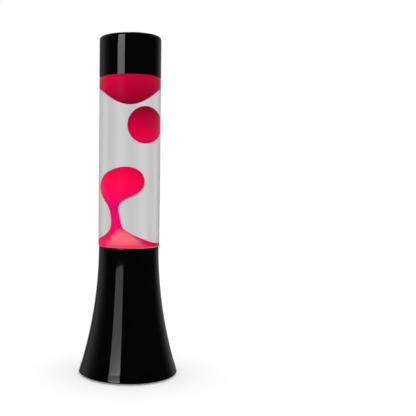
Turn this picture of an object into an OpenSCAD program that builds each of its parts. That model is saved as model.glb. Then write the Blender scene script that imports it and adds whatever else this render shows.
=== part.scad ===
// Lava lamp: a sealed glass bottle of liquid and wax on a flared base with a reflector bulb.
// Millimetres. The lamp stands on z = 0, +Z is up, -Y is the front and the cord leaves at +Y.

/* [Base] */
// Height of the base's top rim above the table
base_h = 133.2; // [131:0.1:145]
// Outer radius of the base's top rim
rim_r = 31.4; // [30.9:0.05:31.6]
// Radius of the flared body where the hem starts
hem_r = 49.05; // [46:0.05:50]
// Height where the hem starts
hem_z = 10.4; // [9:0.1:14]
// Largest radius of the base, at the rolled hem
foot_r = 51.6; // [50.5:0.1:54]
// Sheet thickness of the base shell and of the cap
wall = 1.2; // [1:0.1:1.4]
// Height of the shell's bottom edge above the table, left by the rubber feet
foot_gap = 1.5; // [1.4:0.1:2]

/* [Glass] */
// Length of the visible glass between base and cap
glass_h = 174.9; // [172:0.1:190]
// Outer radius of the glass bottle
glass_r = 32.1; // [31.9:0.05:32.4]
// Glass thickness
glass_t = 2; // [1.8:0.1:2.2]
// Depth of the bottle's heel inside the base collar
heel_d = 14.2; // [12:0.1:14.5]

/* [Cap] */
// Height of the top cap
cap_h = 41.9; // [41:0.1:50]
// Outer radius of the top cap
cap_r = 32.2; // [31.9:0.05:32.4]
// Rounding of the cap's top edge
cap_round = 3.5; // [2.5:0.5:6]

/* [Wax] */
// Height of the mound's peak above the base rim
mound_h = 18; // [14:1:20]
// Centre of the upper lump of the column above the base rim
head_z = 65.8; // [62:0.1:68]
// Half height of the upper lump
head_half_h = 17; // [15:0.5:18]
// Half width of the upper lump
head_half_w = 17; // [14:0.5:18]
// Radius of the thin neck between mound and lump
neck_r = 3.5; // [2.5:0.1:5]
// Centre of the floating drop above the base rim
drop_z = 125.8; // [124:0.1:126]
// Half height of the floating drop
drop_half_h = 19.5; // [16:0.5:19.5]
// Half width of the floating drop
drop_half_w = 14; // [12:0.1:15]
// Depth of the wax pool under the cap, measured below the cap's edge
pool_d = 27.5; // [24:0.5:30]

/* [Bulb and holder] */
// Height of the bulb's contact tip above the table
bulb_z = 38; // [38:0.5:39]
// Length of the reflector bulb with its cap
bulb_h = 65.5; // [63:0.5:66]
// Largest radius of the reflector bulb
bulb_r = 19.5; // [18:0.5:20]
// Bore radius of the cord inlet
inlet_r = 3.3; // [2.5:0.1:3.4]

/* [Hidden] */
$fn = 96;

fit = 0.1;      // gap left between neighbouring solids of one body
slip = 0.3;     // gap left between solids of different bodies
big = 200;      // longer than any cut needs to be

// Base outline: one large arc from the rim to the hem, a small step, a bowed hem and a rounded edge.
flare_h = base_h - hem_z;
flare_w = hem_r - rim_r;
flare_rad = (flare_h * flare_h + flare_w * flare_w) / (2 * flare_w);
hem_step = 0.6;
hem_drop = 1.2;
hem_bow = 0.25;
roll_r = 1;
roll_x = foot_r - roll_r;
roll_z = foot_gap + roll_r;
lip_r = foot_r - 4.8;
rim_round = 0.8;
collar_r = glass_r - glass_t - 0.7;
collar_z = base_h - heel_d - 1;

// Flat seat for the cord grommet at the rear of the hem.
inlet_z = 10;
seat_y = foot_r - 3.3;
seat_w = 14;
seat_top = inlet_z + 3;
notch_r = inlet_r + 1;
flange_r = notch_r + 1.3;
flange_in = seat_y - 3.7;
flange_t = 1.5;

// Bottom cover, its screws and the feet.
plate_z = foot_gap + wall;
plate_t = 1.3;
plate_top = plate_z + plate_t;
plate_r = lip_r - slip;
lug_angles = [-90, 30, 150];
lug_at = 43;
lug_in = 3.5;
lug_w = 9;
lug_t = 2.3;
lug_end = foot_r - 1.3;
screw_r = 1.6;
screw_l = 5;
screw_head_r = 3;
screw_head_t = 1.2;
screw_slot_w = 0.6;
screw_slot_d = 0.7;
foot_at = 39;
foot_pad_r = 6;
foot_round = 0.8;
vent_at = 30;
vent_r = 2.6;
vent_angles = [35:22:145];

// Bracket and lampholder, stacked from the plate upwards.
strap_w = 20;
strap_t = 1.5;
strap_x = 19.5;
strap_end = 33;
rivet_x = 27;
rivet_r = 2;
rivet_head_r = 3.3;
rivet_head_t = 0.9;
strap_top = bulb_z - 16.5;
nut_h = 3;
nut_r = 14 / sqrt(3);
nipple_r = 4.95;
nipple_bore = 3.9;
nipple_below = 5.5;
skirt_z = strap_top + nut_h;
skirt_r = 14.2;
skirt_t = 1.3;
skirt_h = 37;
boss_r = 7.5;
core_z = skirt_z + 6.5;
core_h = 10;
core_r = skirt_r - skirt_t - slip;
core_floor = 4;
core_cup_r = 8.3;
terminal_x = 10.3;
terminal_r = 1;
terminal_l = 3;
terminal_head_r = 1.9;
terminal_head_t = 1.6;
wire_hole_y = 6.2;
wire_hole_r = 1.4;
contact_t = 0.5;
contact_w = 4;
earth_z = plate_top + 9;
earth_r = 2;
earth_l = 5;
earth_head_r = 3.4;
earth_head_t = 2.2;
tab_t = 0.8;
tab_w = 6.3;
tab_l = 8.5;

// Edison thread of the standard pitch: the same helix on cap and holder, the holder's a little larger.
pitch = 2.822;
thread_mid = 6.545;
thread_amp = 0.4;
thread_gap = 0.35;
tin = 0.35;
cap_bottom = bulb_z + 4.5;
thread_top = cap_bottom + 14.5;
thread_steps = 5;
thread_sides = 18;
holder_bottom = core_z + core_h;
holder_top = thread_top - 0.5;

// Reflector bulb: neck, bowl and dome.
tip_h = 1.3;
bulb_neck_r = 8.4;
bulb_seal_r = 5.3;
bulb_bowl_z = bulb_z + 25;
bulb_wide_z = bulb_z + 54;
bulb_top = bulb_z + bulb_h;
bulb_t = 0.8;
lead_x = 6;
lead_z = bulb_z + 48;

// Bottle: heel, shoulder on the rim, long wall, upper edge, spigot, shoulder and neck.
edge_r = 1.8;
heel_r = collar_r - 0.4;
heel_z = base_h - heel_d;
heel_round = 2.5;
seat_gap = 0.05;
inner_r = glass_r - glass_t;
heel_in = heel_r - glass_t;
floor_z = heel_z + 3;
cap_z = base_h + glass_h;
spigot_r = cap_r - wall - 0.6;
spigot_in = spigot_r - glass_t;
shoulder_z = cap_z + 3.4;
shoulder_h = 16.5;
finish_r = 12.6;
finish_in = 9.6;
lip_z = cap_z + 33.4;
lip_out = 13;
bead_r = 13.9;

// Crown closure.
liner_r = 12.2;
liner_t = 0.7;
crown_t = 1.1;
crown_h = 6;
crown_top = lip_z + crown_t;
flutes = 21;

// Wax.
mound_x = -8;
mound_w = 34;
mound_base = base_h - 4;
column_x = -11;
head_x = -5;
foot_flare = 4;
head_flare = 5;
drop_x = 12.2;
pool_k = 0.0322;
pool_bottom = cap_z - pool_d;
pool_top = shoulder_z + 6.5;
coil_ring_r = 19;
coil_r = 3.4;
coil_wire = 0.55;
coil_turns = 16;
coil_steps = 9;
coil_sides = 4;
coil_z = floor_z + coil_r + coil_wire + 0.3;

// Points on an arc about [x, z], from angle a to angle b.
function arc(x, z, r, a, b, n = 8) =
    [for (i = [0:n]) let (t = a + (b - a) * i / n) [x + r * cos(t), z + r * sin(t)]];

// Radius of the base's flared side at height z.
function flare_r(z) = rim_r + flare_rad - sqrt(pow(flare_rad, 2) - pow(base_h - z, 2));

function flare(offset_r, z0, z1, n = 16) =
    [for (i = [0:n]) let (z = z0 + (z1 - z0) * i / n) [flare_r(z) + offset_r, z]];

// The hem below the step, bowed outwards a little; it starts just above the rounded edge.
function hem(offset_r, n = 5) = [for (i = [1:n]) let (u = i / n)
    [foot_r + (hem_r + hem_step - foot_r) * u + 4 * hem_bow * u * (1 - u) + offset_r,
     roll_z + (hem_z - hem_drop - roll_z) * u]];

// Outer side of the base from the bottom edge up to the rim.
function base_side() = concat(
    arc(roll_x, roll_z, roll_r, -90, 10, 5),
    hem(0),
    flare(0, hem_z, base_h - rim_round),
    arc(rim_r - rim_round, base_h - rim_round, rim_round, 15, 90, 4));

// Inside of the bottle wall, s shrinks it; the top follows the shoulder's S curve.
function shoulder(r0, r1, n = 8) = [for (i = [0:n]) let (u = i / n)
    [r1 + (r0 - r1) * (1 + cos(180 * u)) / 2, shoulder_z + shoulder_h * u]];

function bottle_inside(s) = concat(
    [[0, floor_z + s]],
    arc(heel_in - heel_round, floor_z + heel_round, heel_round - s, -90, 0, 4),
    [[heel_in - s, base_h - 2.5], [inner_r - s, base_h + 2.5], [inner_r - s, cap_z - 5],
     [spigot_in - s, cap_z]]);

function pool_face(z_off, n = 10) = [for (i = [0:n])
    let (r = (spigot_in + 0.4) * (1 - i / n)) [r, pool_bottom + pool_k * r * r + z_off]];

module base_envelope() rotate_extrude() polygon(concat([[0, foot_gap]], base_side(), [[0, base_h]]));

module at_lugs() for (a = lug_angles) rotate(a) translate([lug_at, 0, 0]) children();

module base_shell() color([0.02, 0.02, 0.02]) difference() {
    union() {
        difference() {
            rotate_extrude() polygon(concat(
                [[lip_r, foot_gap]],
                base_side(),
                [[collar_r + 0.5, base_h], [collar_r, base_h - 0.5], [collar_r, collar_z]],
                flare(-wall, collar_z - 2, hem_z),
                [for (i = [4:-1:0]) hem(-wall)[i]],
                [[foot_r - wall - 0.6, foot_gap + wall], [lip_r, foot_gap + wall]]));
            translate([-seat_w / 2, seat_y, 0]) cube([seat_w, big, seat_top]);
        }
        intersection() {
            base_envelope();
            translate([-seat_w / 2 - 1, seat_y - wall, foot_gap]) cube([seat_w + 2, wall, 15]);
        }
        intersection() {
            base_envelope();
            at_lugs() translate([-lug_in, -lug_w / 2, plate_top])
                cube([lug_end - lug_at + lug_in, lug_w, lug_t]);
        }
    }
    at_lugs() cylinder(h = 3 * plate_top, r = screw_r + 0.05);
    translate([0, big / 2 + 30, inlet_z]) rotate([90, 0, 0]) cylinder(h = big / 2, r = notch_r);
    translate([-notch_r, 30, -1]) cube([2 * notch_r, big, inlet_z + 1]);
}

module base_plate() color([0.1, 0.1, 0.1]) difference() {
    translate([0, 0, plate_z]) cylinder(h = plate_t, r = plate_r);
    at_lugs() cylinder(h = 3 * plate_top, r = screw_r + 0.3);
    for (side = [0, 180], a = vent_angles)
        rotate(side + a) translate([vent_at, 0, 0]) cylinder(h = 3 * plate_top, r = vent_r);
    for (s = [-1, 1]) translate([s * rivet_x, 0, 0]) cylinder(h = 3 * plate_top, r = rivet_r + 0.1);
}

module base_plate_screws() color([0.5, 0.5, 0.52]) at_lugs() difference() {
    union() {
        translate([0, 0, plate_z - screw_head_t]) cylinder(h = screw_head_t, r = screw_head_r);
        translate([0, 0, plate_z - fit]) cylinder(h = screw_l, r = screw_r);
    }
    for (a = [0, 90]) rotate(a) translate([-screw_r, -screw_slot_w / 2, 0])
        cube([2 * screw_r, screw_slot_w, plate_z - screw_head_t + screw_slot_d]);
}

module foot(i) color([0.08, 0.08, 0.08]) rotate(45 + 90 * i) translate([foot_at, 0, 0])
    rotate_extrude() polygon(concat(
        [[0, 0]],
        arc(foot_pad_r - foot_round, foot_round, foot_round, -90, 0, 4),
        [[foot_pad_r, plate_z], [0, plate_z]]));

// Rubber grommet: a turned plug with a flange on each side, and a web that closes the notch below it.
module cord_grommet() color([0.06, 0.06, 0.06]) difference() {
    union() {
        translate([0, 0, inlet_z]) rotate([-90, 0, 0]) rotate_extrude() polygon(concat(
            [[0, flange_in], [flange_r, flange_in], [flange_r, flange_in + flange_t],
             [notch_r - fit, flange_in + flange_t], [notch_r - fit, seat_y + fit],
             [flange_r, seat_y + fit]],
            arc(notch_r - 0.7, foot_r - 2, 2, 0, 90, 5),
            [[0, foot_r]]));
        translate([fit - notch_r, seat_y - wall, foot_gap + fit])
            cube([2 * (notch_r - fit), wall, inlet_z - foot_gap - fit]);
    }
    translate([0, big, inlet_z]) rotate([90, 0, 0]) cylinder(h = big, r = inlet_r);
}

module holder_bracket() color([0.6, 0.6, 0.62]) difference() {
    translate([0, strap_w / 2, 0]) rotate([90, 0, 0]) linear_extrude(strap_w) polygon([
        [strap_end, plate_top], [strap_end, plate_top + strap_t], [strap_x, plate_top + strap_t],
        [strap_x, strap_top], [-strap_x, strap_top], [-strap_x, plate_top + strap_t],
        [-strap_end, plate_top + strap_t], [-strap_end, plate_top], [strap_t - strap_x, plate_top],
        [strap_t - strap_x, strap_top - strap_t], [strap_x - strap_t, strap_top - strap_t],
        [strap_x - strap_t, plate_top]]);
    cylinder(h = big, r = nipple_r + 0.15);
    for (s = [-1, 1]) translate([s * rivet_x, 0, 0]) cylinder(h = 3 * plate_top, r = rivet_r + 0.1);
    translate([0, 0, earth_z]) rotate([0, 90, 0]) cylinder(h = big, r = earth_r + 0.05);
}

module bracket_rivets() color([0.75, 0.75, 0.77]) for (s = [-1, 1]) translate([s * rivet_x, 0, 0]) {
    translate([0, 0, plate_z - rivet_head_t]) cylinder(h = rivet_head_t, r = rivet_head_r);
    translate([0, 0, plate_z - fit]) cylinder(h = plate_t + strap_t + 2 * fit, r = rivet_r);
    translate([0, 0, plate_top + strap_t]) cylinder(h = rivet_head_t, r = rivet_head_r);
}

module holder_nipple() color([0.75, 0.66, 0.4]) translate([0, 0, strap_top - nipple_below])
difference() {
    cylinder(h = core_z - strap_top + nipple_below, r = nipple_r);
    translate([0, 0, -1]) cylinder(h = big, r = nipple_bore);
}

module holder_nuts() color([0.7, 0.7, 0.72]) for (z = [strap_top - strap_t - nut_h, strap_top])
    translate([0, 0, z]) difference() {
        linear_extrude(nut_h) circle(r = nut_r, $fn = 6);
        translate([0, 0, -1]) cylinder(h = nut_h + 2, r = nipple_r + 0.05);
    }

module lampholder_skirt() color([0.07, 0.07, 0.07]) rotate_extrude() polygon([
    [nipple_r + 0.05, skirt_z], [skirt_r - 1.5, skirt_z], [skirt_r, skirt_z + 1.5],
    [skirt_r, skirt_z + skirt_h - 1.5], [skirt_r - 1, skirt_z + skirt_h],
    [bulb_neck_r + 1.4, skirt_z + skirt_h], [bulb_neck_r + 1.4, skirt_z + skirt_h - skirt_t],
    [skirt_r - skirt_t, skirt_z + skirt_h - skirt_t], [skirt_r - skirt_t, skirt_z + 2],
    [boss_r, skirt_z + 2], [boss_r, core_z], [nipple_r + 0.05, core_z]]);

module lampholder_core() color([0.85, 0.82, 0.75]) difference() {
    translate([0, 0, core_z]) cylinder(h = core_h, r = core_r);
    translate([0, 0, core_z + core_floor]) cylinder(h = core_h, r = core_cup_r);
    for (s = [-1, 1]) {
        translate([s * terminal_x, 0, core_z - 1]) cylinder(h = terminal_l + 1, r = terminal_r + 0.05);
        translate([0, s * wire_hole_y, core_z - 1]) cylinder(h = core_h, r = wire_hole_r);
    }
}

module terminal_screws() color([0.8, 0.7, 0.4]) for (s = [-1, 1])
    translate([s * terminal_x, 0, core_z]) difference() {
        union() {
            translate([0, 0, -terminal_head_t]) cylinder(h = terminal_head_t, r = terminal_head_r);
            translate([0, 0, -fit]) cylinder(h = terminal_l, r = terminal_r);
        }
        translate([-big / 2, -contact_t / 2, -2]) cube([big, contact_t, 1]);
    }

// Spring strip: a flat foot on the core's floor, a rising leg and a flat tongue under the bulb's tip.
module lampholder_contact() color([0.8, 0.7, 0.4])
    translate([0, contact_w / 2, 0]) rotate([90, 0, 0]) linear_extrude(contact_w) polygon([
        [-6.5, core_z + core_floor], [6, core_z + core_floor],
        [6.4, core_z + core_floor + contact_t + fit], [2.6, bulb_z - fit], [-2.6, bulb_z - fit],
        [-2.8, bulb_z - fit - contact_t], [2.3, bulb_z - fit - contact_t],
        [5, core_z + core_floor + contact_t], [-6.5, core_z + core_floor + contact_t]]);

module earth_tab() color([0.8, 0.7, 0.4]) difference() {
    union() {
        translate([strap_x, -tab_w / 2, earth_z - 4.5]) cube([tab_t, tab_w, 9]);
        translate([strap_x, -tab_w / 2, earth_z + 4.5 - tab_t]) cube([tab_l, tab_w, tab_t]);
    }
    translate([0, 0, earth_z]) rotate([0, 90, 0]) cylinder(h = big, r = earth_r + 0.1);
}

module earth_screw() color([0.7, 0.7, 0.72]) translate([0, 0, earth_z]) rotate([0, 90, 0]) difference() {
    union() {
        translate([0, 0, strap_x + tab_t + fit - earth_l]) cylinder(h = earth_l, r = earth_r);
        translate([0, 0, strap_x + tab_t]) cylinder(h = earth_head_t, r = earth_head_r);
    }
    translate([-0.4, -big / 2, strap_x + 2]) cube([0.8, big, 2]);
}

// A thin tube whose wall follows a helix. Each row is [z, outer radius, wave height].
module threaded_tube(rows, t) {
    nr = len(rows);
    ns = thread_sides;
    points = [for (skin = [0, 1], row = rows, j = [0:ns - 1])
        let (a = 360 * j / ns, r = row[1] - skin * t + row[2] * cos(360 * row[0] / pitch - a))
        [r * cos(a), r * sin(a), row[0]]];
    function at(skin, i, j) = skin * nr * ns + i * ns + j % ns;
    faces = concat(
        [for (i = [0:nr - 2], j = [0:ns - 1]) each [
            [at(0, i, j), at(0, i + 1, j), at(0, i + 1, j + 1)],
            [at(0, i, j), at(0, i + 1, j + 1), at(0, i, j + 1)],
            [at(1, i, j), at(1, i + 1, j + 1), at(1, i + 1, j)],
            [at(1, i, j), at(1, i, j + 1), at(1, i + 1, j + 1)]]],
        [for (j = [0:ns - 1]) each [
            [at(0, 0, j), at(0, 0, j + 1), at(1, 0, j + 1)],
            [at(0, 0, j), at(1, 0, j + 1), at(1, 0, j)],
            [at(0, nr - 1, j), at(1, nr - 1, j + 1), at(0, nr - 1, j + 1)],
            [at(0, nr - 1, j), at(1, nr - 1, j), at(1, nr - 1, j + 1)]]]);
    polyhedron(points, faces);
}

function thread_rows(z0, z1, r) = let (n = ceil((z1 - z0) / pitch * thread_steps))
    [for (i = [0:n]) [z0 + (z1 - z0) * i / n, r, thread_amp]];

module lampholder_shell() color([0.8, 0.7, 0.4]) threaded_tube(concat(
    [[holder_bottom, thread_mid + 2.2, 0], [holder_bottom + 0.5, thread_mid + 2.2, 0],
     [holder_bottom + 0.6, thread_mid + thread_gap + tin + thread_amp, 0]],
    thread_rows(holder_bottom + 1.4, holder_top, thread_mid + thread_gap + tin)), tin);

module bulb_cap() color([0.75, 0.72, 0.62]) threaded_tube(concat(
    [[cap_bottom, 6.1, 0]],
    thread_rows(cap_bottom + 0.8, thread_top, thread_mid),
    [[thread_top + 1, 7, 0], [thread_top + 3.3, 8.7, 0]]), tin);

module bulb_insulator() color([0.05, 0.05, 0.06]) rotate_extrude() polygon([
    [0, bulb_z + tip_h], [3, bulb_z + tip_h], [5.4, cap_bottom], [5.4, cap_bottom + 1.2],
    [0, cap_bottom + 1.2]]);

module bulb_contact() color([0.7, 0.7, 0.72]) rotate_extrude() polygon([
    [0, bulb_z], [1.5, bulb_z + 0.1], [2.4, bulb_z + 0.8], [2.4, bulb_z + tip_h],
    [0, bulb_z + tip_h]]);

// Bulb side: seal, cylinder neck, bowl and dome; s shrinks it.
function bulb_side(s) = concat(
    [[bulb_seal_r - s, bulb_z + 14], [bulb_seal_r - s, bulb_z + 19]],
    [for (i = [0:8]) let (u = i / 8)
        [bulb_neck_r - 0.6 + (bulb_r - bulb_neck_r + 0.6) * sin(90 * u) - s,
         bulb_bowl_z - 2.6 + (bulb_wide_z - bulb_bowl_z + 2.6) * u]],
    [for (i = [1:6]) let (t = 90 * i / 6)
        [max(0, (bulb_r - s) * cos(t)), bulb_wide_z + (bulb_top - bulb_wide_z - s) * sin(t)]]);

module bulb_envelope() color([0.85, 0.86, 0.88]) rotate_extrude() polygon(concat(
    bulb_side(0),
    [for (i = [len(bulb_side(bulb_t)) - 1:-1:0]) bulb_side(bulb_t)[i]]));

module bulb_stem() color([0.8, 0.85, 0.85]) rotate_extrude() polygon([
    [0, bulb_z + 15], [4, bulb_z + 15], [3.6, bulb_z + 17], [2, bulb_z + 22], [1.8, bulb_z + 34],
    [2.3, bulb_z + 36], [0, bulb_z + 37]]);

module bulb_wires() color([0.6, 0.6, 0.62]) for (s = [-1, 1])
    translate([s * 1.8, 0, bulb_z + 36.8])
    rotate([0, s * atan((lead_x - 1.8) / (lead_z - bulb_z - 36.8)), 0])
        cylinder(h = lead_z - bulb_z - 36.8, r = 0.3, $fn = 24);

module bulb_filament() color([0.4, 0.4, 0.42]) translate([-lead_x - 0.6, 0, lead_z + 0.5])
    rotate([0, 90, 0]) cylinder(h = 2 * lead_x + 1.2, r = 0.45, $fn = 24);

module glass_bottle() color([0.85, 0.9, 0.92, 0.3]) rotate_extrude() polygon(concat(
    [[0, heel_z]],
    arc(heel_r - heel_round, heel_z + heel_round, heel_round, -90, 0, 5),
    [[heel_r, base_h + seat_gap]],
    arc(glass_r - edge_r, base_h + seat_gap + edge_r, edge_r, -90, 0, 6),
    arc(glass_r - edge_r, cap_z - edge_r - fit, edge_r, 0, 90, 6),
    shoulder(spigot_r, finish_r),
    [[finish_r, lip_z - 10], [bead_r, lip_z - 9.4], [bead_r, lip_z - 7.4], [lip_out, lip_z - 6.6],
     [lip_out, lip_z - 1.2], [lip_out - 1.2, lip_z], [finish_in + 0.6, lip_z],
     [finish_in, lip_z - 0.6]],
    [for (i = [8:-1:0]) shoulder(spigot_in, finish_in)[i]],
    [for (i = [len(bottle_inside(0)) - 1:-1:0]) bottle_inside(0)[i]]));

module crown_liner() color([0.9, 0.9, 0.88]) translate([0, 0, lip_z])
    cylinder(h = liner_t, r = liner_r);

module crown_cap() color([0.8, 0.7, 0.3]) difference() {
    rotate_extrude() polygon(concat(
        [[0, lip_z + liner_t], [0, crown_top], [11.8, crown_top]],
        arc(11.8, crown_top - 2, 2, 80, 15, 4),
        [[lip_out + 1.9, crown_top - crown_h], [lip_out + 1.9 - crown_t, crown_top - crown_h],
         [lip_out + 0.2, lip_z - 0.5], [liner_r + 0.2, lip_z + liner_t]]));
    for (i = [0:flutes - 1]) rotate(360 * i / flutes)
        translate([lip_out + 2.1, 0, lip_z - crown_h]) cylinder(h = crown_h - 0.5, r = 0.6, $fn = 24);
}

// The liquid fills the bottle up to the underside of the wax pool; the wax is cut out of it.
module lamp_liquid() color([0.8, 0.85, 0.85, 0.25]) difference() {
    rotate_extrude() polygon(concat(
        [for (p = bottle_inside(fit)) if (p[1] < cap_z - 1.5) p],
        [for (p = pool_face(-fit)) if (p[1] < cap_z - 1.5) p]));
    column_shape(fit);
    drop_shape(fit);
}

// Mound, thin neck and upper lump of the wax column, all grown by g.
module column_shape(g) {
    translate([mound_x, 0, 0]) rotate_extrude() polygon(concat(
        [[0, heel_z - 5], [mound_w + g, heel_z - 5]],
        [for (i = [10:-1:0]) let (u = i / 10, rise = base_h + mound_h - mound_base)
            [(mound_w + g) * u, mound_base + rise * (1 + cos(180 * u)) / 2 + g]]));
    translate([column_x, 0, 0]) rotate_extrude() polygon(concat(
        [[0, base_h + mound_h - 6]],
        [for (i = [0:10]) let (u = i / 10, w = 2 * u - 1)
            [neck_r + (w < 0 ? foot_flare * pow(w, 4) : head_flare * pow(w, 3)) + g,
             base_h + mound_h - 6 + (head_z - head_half_h - mound_h + 14) * u]],
        [[0, base_h + head_z - head_half_h + 8]]));
    translate([head_x, 0, base_h + head_z]) lump(head_half_w + g, head_half_h + g);
}

// A lump of wax: an ellipse turned about Z.
module lump(w, h, n = 14) rotate_extrude() polygon(
    [for (i = [0:n]) let (t = -90 + 180 * i / n) [w * max(0, cos(t)), h * sin(t)]]);

module drop_shape(g) translate([drop_x, 0, base_h + drop_z]) lump(drop_half_w + g, drop_half_h + g);

module wax_column() color([1, 0.3, 0.42]) intersection() {
    column_shape(0);
    rotate_extrude() polygon(concat(bottle_inside(fit), [[0, cap_z]]));
}

module wax_drop() color([0.85, 0.02, 0.22]) drop_shape(0);

module wax_pool() color([0.7, 0.02, 0.18]) rotate_extrude() polygon(concat(
    [for (p = pool_face(fit)) if (p[1] < cap_z - 1.3) p],
    [[0, pool_top], [21.3, pool_top], [24.2, pool_top - 2], [26.5, pool_top - 4],
     [spigot_in - fit, shoulder_z - 0.5], [spigot_in - fit, cap_z]]));

// Wire spring bent into a ring on the bottle's floor.
module wire_coil() color([0.75, 0.75, 0.77]) {
    n = coil_turns * coil_steps;
    points = [for (i = [0:n - 1], k = [0:coil_sides - 1])
        let (ring_a = 360 * i / n, coil_a = 360 * i / coil_steps, side_a = 360 * k / coil_sides,
            r = coil_r + coil_wire * cos(side_a), along = coil_wire * sin(side_a) / coil_ring_r * 180 / PI,
            rho = coil_ring_r + r * cos(coil_a))
        [rho * cos(ring_a + along), rho * sin(ring_a + along), coil_z + r * sin(coil_a)]];
    faces = [for (i = [0:n - 1], k = [0:coil_sides - 1])
        let (i2 = (i + 1) % n, k2 = (k + 1) % coil_sides)
        each [[i * coil_sides + k, i * coil_sides + k2, i2 * coil_sides + k2],
              [i * coil_sides + k, i2 * coil_sides + k2, i2 * coil_sides + k]]];
    polyhedron(points, faces);
}

module top_cap() color([0.02, 0.02, 0.02]) rotate_extrude() polygon(concat(
    [[cap_r - wall, cap_z], [cap_r, cap_z]],
    arc(cap_r - cap_round, cap_z + cap_h - cap_round, cap_round, 0, 90, 8),
    [[0, cap_z + cap_h], [0, cap_z + cap_h - wall]],
    arc(cap_r - cap_round, cap_z + cap_h - cap_round, cap_round - wall, 90, 0, 6)));

base_shell();
base_plate();
base_plate_screws();
foot(0);  // foot_1
foot(1);  // foot_2
foot(2);  // foot_3
foot(3);  // foot_4
cord_grommet();
holder_bracket();
bracket_rivets();
holder_nipple();
holder_nuts();
lampholder_skirt();
lampholder_core();
lampholder_shell();
lampholder_contact();
terminal_screws();
earth_tab();
earth_screw();
bulb_envelope();
bulb_cap();
bulb_insulator();
bulb_contact();
bulb_stem();
bulb_wires();
bulb_filament();
glass_bottle();
crown_cap();
crown_liner();
lamp_liquid();
wax_column();
wax_pool();
wire_coil();
wax_drop();
top_cap();
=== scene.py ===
"""Looks of the lava lamp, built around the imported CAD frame. Metres, +Z up, -Y is the front."""
import math

import bmesh
import bpy
from mathutils import Matrix, Vector


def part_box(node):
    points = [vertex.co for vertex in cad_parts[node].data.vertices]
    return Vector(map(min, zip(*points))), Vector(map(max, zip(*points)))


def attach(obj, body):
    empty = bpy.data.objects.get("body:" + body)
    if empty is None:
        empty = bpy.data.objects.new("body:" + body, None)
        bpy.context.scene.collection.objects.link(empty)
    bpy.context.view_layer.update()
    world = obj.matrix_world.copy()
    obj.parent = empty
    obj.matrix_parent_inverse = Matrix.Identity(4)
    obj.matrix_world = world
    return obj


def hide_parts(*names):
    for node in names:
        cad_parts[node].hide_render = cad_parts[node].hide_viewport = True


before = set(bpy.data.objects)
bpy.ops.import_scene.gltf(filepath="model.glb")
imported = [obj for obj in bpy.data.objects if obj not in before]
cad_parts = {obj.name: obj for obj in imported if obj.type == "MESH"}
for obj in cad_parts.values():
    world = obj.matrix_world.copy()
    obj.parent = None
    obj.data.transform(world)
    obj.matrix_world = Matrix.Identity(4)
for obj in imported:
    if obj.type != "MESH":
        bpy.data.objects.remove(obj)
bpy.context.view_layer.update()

# ---------------------------------------------------------------- places taken from the frame
MM = 0.001
shell_lo, shell_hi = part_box("base_shell")
cap_lo, cap_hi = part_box("top_cap")
glass_lo, glass_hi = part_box("glass_bottle")
drop_lo, drop_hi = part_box("wax_drop")
bulb_lo, bulb_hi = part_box("bulb_envelope")
crown_lo, crown_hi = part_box("crown_cap")
coil_lo, coil_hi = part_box("wire_coil")
thread_lo, thread_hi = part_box("bulb_cap")
holder_lo, holder_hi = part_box("lampholder_shell")
nipple_lo, nipple_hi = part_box("holder_nipple")
filament_lo, filament_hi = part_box("bulb_filament")
grommet_lo, grommet_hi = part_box("cord_grommet")

RIM_Z = shell_hi.z
FOOT_GAP = shell_lo.z
FOOT_R = -shell_lo.y
CAP_Z = cap_lo.z
TOP_Z = cap_hi.z
CAP_R = cap_hi.x
GLASS_R = glass_hi.x
HEEL_Z = glass_lo.z
LIP_Z = glass_hi.z
BULB_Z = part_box("bulb_contact")[0].z
BULB_TOP = bulb_hi.z
INLET_Z = (grommet_lo.z + grommet_hi.z) / 2

WALL = 1.2 * MM
GLASS_T = 2.0 * MM
ROUND_STEPS = 256
ON_AXIS = 1e-7


# ---------------------------------------------------------------- mesh helpers
def new_object(name, data):
    obj = bpy.data.objects.new(name, data)
    bpy.context.scene.collection.objects.link(obj)
    return obj


def finish_mesh(name, mesh):
    """Turns a bmesh into an object of the scene, with its faces turned outwards."""
    bmesh.ops.recalc_face_normals(mesh, faces=mesh.faces[:])
    data = bpy.data.meshes.new(name)
    mesh.to_mesh(data)
    mesh.free()
    return new_object(name, data)


def join_rings(mesh, low, high):
    """Quads between two rings with the same number of points."""
    count = len(low)
    for i in range(count):
        j = (i + 1) % count
        mesh.faces.new((low[i], low[j], high[j], high[i]))


def soften(obj, angle):
    """Smooth shading with the edges sharper than angle left crisp."""
    mesh = obj.data
    mesh.polygons.foreach_set("use_smooth", [True] * len(mesh.polygons))
    mesh.set_sharp_from_angle(angle=math.radians(angle))


def piece(obj, body, slot, material, *nodes, angle=32):
    """Gives a finished object its material and body, and hides the CAD nodes it stands for. The slot is
    not used.
    """
    if obj.type == "MESH":
        soften(obj, angle)
    obj.data.materials.clear()
    obj.data.materials.append(material)
    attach(obj, body)
    if nodes:
        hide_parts(*nodes)
    return obj


def lathe(name, profile, steps=ROUND_STEPS, ripple=None):
    """Turns a closed outline of (radius, height) about Z. ripple(angle, height) moves a point out."""
    mesh = bmesh.new()
    rings = []
    for radius, height in profile:
        if radius < ON_AXIS:
            rings.append([mesh.verts.new((0, 0, height))])
            continue
        ring = []
        for i in range(steps):
            a = 2 * math.pi * i / steps
            r = radius + (ripple(a, height) if ripple else 0)
            ring.append(mesh.verts.new((r * math.cos(a), r * math.sin(a), height)))
        rings.append(ring)
    for low, high in zip(rings, rings[1:] + rings[:1]):
        if len(low) == 1 and len(high) == 1:
            continue
        if len(low) == len(high):
            join_rings(mesh, low, high)
            continue
        for i in range(steps):
            j = (i + 1) % steps
            if len(low) == 1:
                mesh.faces.new((low[0], high[j], high[i]))
            else:
                mesh.faces.new((low[i], low[j], high[0]))
    return finish_mesh(name, mesh)


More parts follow.
